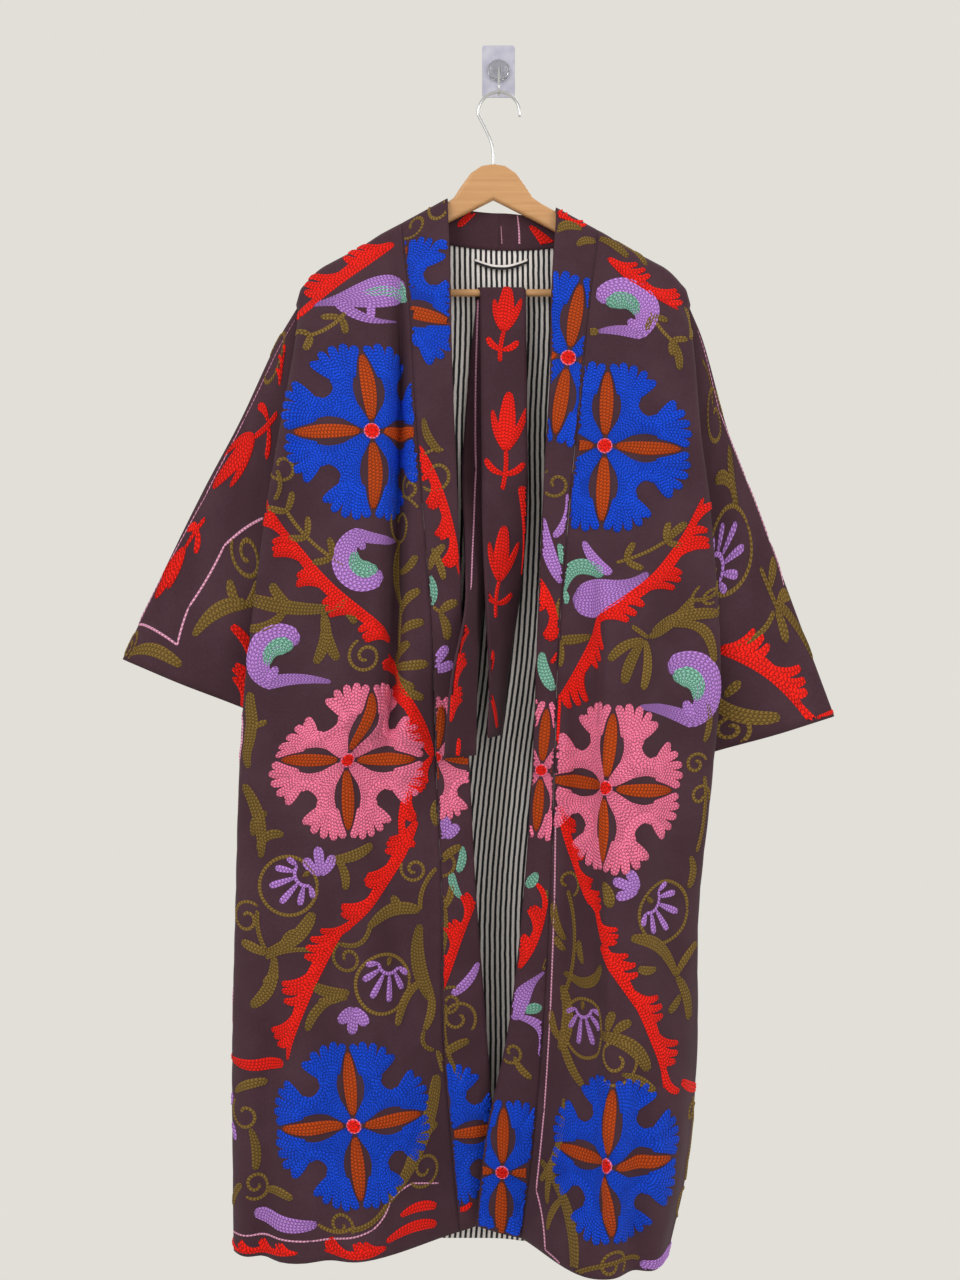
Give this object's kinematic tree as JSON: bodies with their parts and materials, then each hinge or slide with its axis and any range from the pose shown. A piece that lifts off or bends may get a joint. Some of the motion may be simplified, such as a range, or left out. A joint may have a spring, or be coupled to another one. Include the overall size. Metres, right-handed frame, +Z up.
{
  "type": "embroidered kimono robe on a wooden hanger and wall hook",
  "caption": "Long open-fronted kimono robe with wide tapering sleeves, neckband and sash, hung on a contoured wooden hanger from an adhesive wall hook.",
  "frame": {"origin": "middle of the wall plate's back face, on the wall", "axes": "+Z up, +Y into the wall, so the wearer faces -Y and the wearer's left is at +X"},
  "size_m": [0.8748, 0.1839, 1.5112],
  "materials": {
    "robe_cloth": "dark aubergine cotton, densely chain-stitched",
    "striped_lining": "black and white striped cotton",
    "hanger_wood": "clear lacquered",
    "chrome_wire": "polished",
    "film": "smooth lilac-grey",
    "clear_plastic": "clear"
  },
  "bodies": {
    "root": {"wall_plate": "film", "wall_boss": "clear_plastic", "wall_hook": "chrome_wire", "hanger_hook": "chrome_wire", "hanger_wood": "hanger_wood", "hanger_bar": "hanger_wood", "back_panel": "robe_cloth", "back_lining": "striped_lining", "right_front": "robe_cloth", "right_neckband": "robe_cloth", "right_sleeve": "robe_cloth", "left_front": "robe_cloth", "left_neckband": "robe_cloth", "left_sleeve": "robe_cloth", "hang_loop": "striped_lining", "sash": "robe_cloth"}
  },
  "joints": []
}
